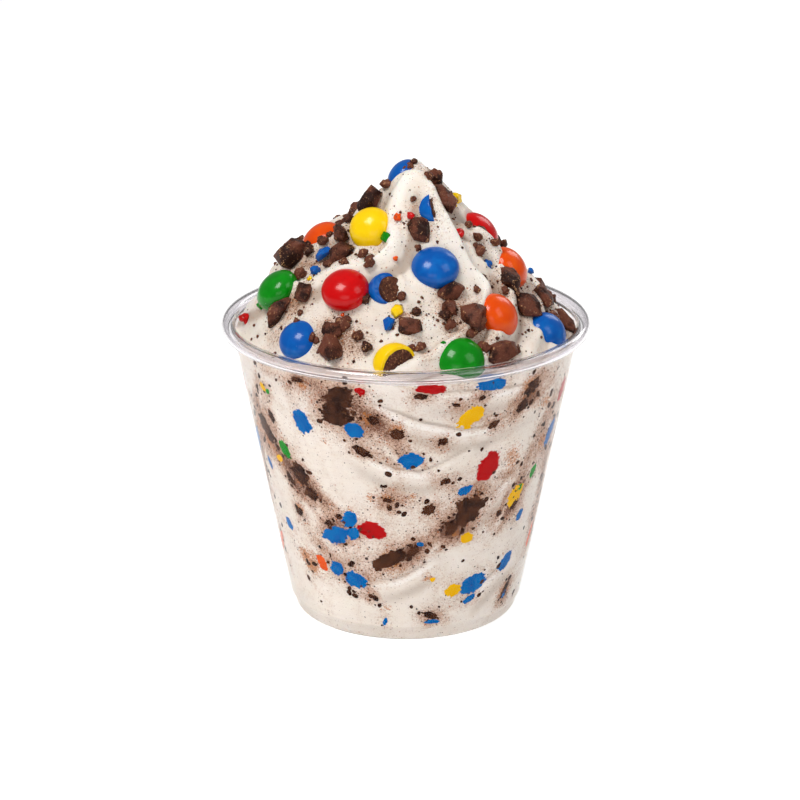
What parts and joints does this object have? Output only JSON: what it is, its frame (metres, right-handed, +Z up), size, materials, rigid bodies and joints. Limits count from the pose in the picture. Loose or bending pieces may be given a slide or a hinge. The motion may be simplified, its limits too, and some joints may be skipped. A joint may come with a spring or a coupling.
{
  "type": "blended ice cream cup",
  "caption": "Clear plastic cup filled with blended vanilla ice cream heaped to a folded peak, with sugar-shelled chocolate candies and broken chocolate pieces pressed into it.",
  "frame": {"origin": "centre of the cup's foot, on the surface that it stands on", "axes": "+Z up through the cup's axis, -Y to the side that the picture shows, +X to its right"},
  "size_m": [0.095, 0.095, 0.1194],
  "materials": {
    "clear_cup": "clear, thin and glossy, faintly lilac at its folded edges",
    "ice_cream": "soft cream white, satin, speckled with brown crumbs",
    "chocolate": "dark brown, rough and grainy where it is broken",
    "blue_sugar_shell": "glossy hard sugar shell",
    "red_sugar_shell": "glossy hard sugar shell",
    "yellow_sugar_shell": "glossy hard sugar shell",
    "green_sugar_shell": "glossy hard sugar shell",
    "orange_sugar_shell": "glossy hard sugar shell"
  },
  "bodies": {
    "root": {"cup": "clear_cup", "ice_cream": "ice_cream", "broken_blue_2_core": "chocolate", "broken_blue_2_shell": "blue_sugar_shell", "broken_blue_3_core": "chocolate", "broken_blue_3_shell": "blue_sugar_shell", "broken_yellow_1_core": "chocolate", "broken_yellow_1_shell": "yellow_sugar_shell", "candy_blue_1": "blue_sugar_shell", "candy_blue_2": "blue_sugar_shell", "candy_blue_3": "blue_sugar_shell", "candy_blue_4": "blue_sugar_shell", "candy_blue_5": "blue_sugar_shell", "candy_green_1": "green_sugar_shell", "candy_green_2": "green_sugar_shell", "candy_green_3": "green_sugar_shell", "candy_green_4": "green_sugar_shell", "candy_orange_1": "orange_sugar_shell", "candy_orange_2": "orange_sugar_shell", "candy_orange_3": "orange_sugar_shell", "candy_orange_4": "orange_sugar_shell", "candy_red_1": "red_sugar_shell", "candy_red_2": "red_sugar_shell", "candy_red_3": "red_sugar_shell", "candy_yellow_1": "yellow_sugar_shell", "candy_yellow_2": "yellow_sugar_shell", "chunk_1": "chocolate", "chunk_10": "chocolate", "chunk_11": "chocolate", "chunk_12": "chocolate", "chunk_13": "chocolate", "chunk_14": "chocolate", "chunk_15": "chocolate", "chunk_16": "chocolate", "chunk_17": "chocolate", "chunk_18": "chocolate", "chunk_19": "chocolate", "chunk_2": "chocolate", "chunk_20": "chocolate", "chunk_21": "chocolate", "chunk_22": "chocolate", "chunk_23": "chocolate", "chunk_24": "chocolate", "chunk_25": "chocolate", "chunk_26": "chocolate", "chunk_27": "chocolate", "chunk_28": "chocolate", "chunk_3": "chocolate", "chunk_4": "chocolate", "chunk_5": "chocolate", "chunk_6": "chocolate", "chunk_7": "chocolate", "chunk_8": "chocolate", "chunk_9": "chocolate", "shard_blue_1": "blue_sugar_shell", "shard_blue_2": "blue_sugar_shell", "shard_green_1": "green_sugar_shell", "shard_red_1": "red_sugar_shell", "shard_yellow_1": "yellow_sugar_shell", "shard_yellow_2": "yellow_sugar_shell"}
  },
  "joints": []
}
